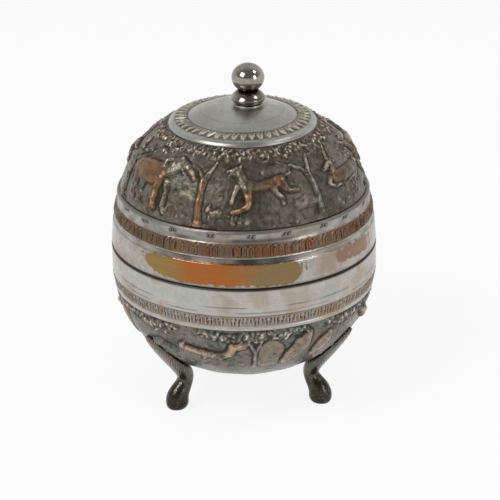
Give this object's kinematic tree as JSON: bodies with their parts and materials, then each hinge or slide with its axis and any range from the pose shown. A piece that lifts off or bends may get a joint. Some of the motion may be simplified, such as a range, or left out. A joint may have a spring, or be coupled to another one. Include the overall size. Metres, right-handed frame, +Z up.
{
  "type": "metal canister",
  "caption": "Round lidded metal canister with a lift-off domed lid, ball knob, chased bands, repousse scenes and cast cabriole feet.",
  "frame": {"origin": "on the floor plane, under the middle of the bowl", "axes": "+Z up along the axis of the bowl and lid, front of the scenes towards -Y, +X to the right seen from the front"},
  "size_m": [0.1148, 0.1148, 0.1511],
  "materials": {
    "worn_silver_bowl": "silver plate, bright on the band, patinated and rubbed to copper on the relief",
    "worn_silver_lid": "silver plate, worn through to copper on the band and on the relief's high points",
    "inner_silver": "brassy, rubbed bright",
    "polished_knob": "polished silver plate, darkened in the hollows",
    "dull_brass": "dull unplated brass",
    "dark_casting": "dark bronze-brown patina, glossy on the high points"
  },
  "bodies": {
    "canister": {"bowl": "worn_silver_bowl", "collar": "inner_silver", "leg_left": "dark_casting", "leg_right": "dark_casting", "leg_back": "dark_casting"},
    "lid": {"lid": "worn_silver_lid", "knob_base": "polished_knob", "knob": "polished_knob", "knob_washer": "dull_brass", "knob_nut": "dull_brass"}
  },
  "joints": [
    {"name": "lid_lift", "type": "slide", "parent": "canister", "child": "lid", "axis": [0, 0, 1], "range_m": [0, 0.08]}
  ]
}
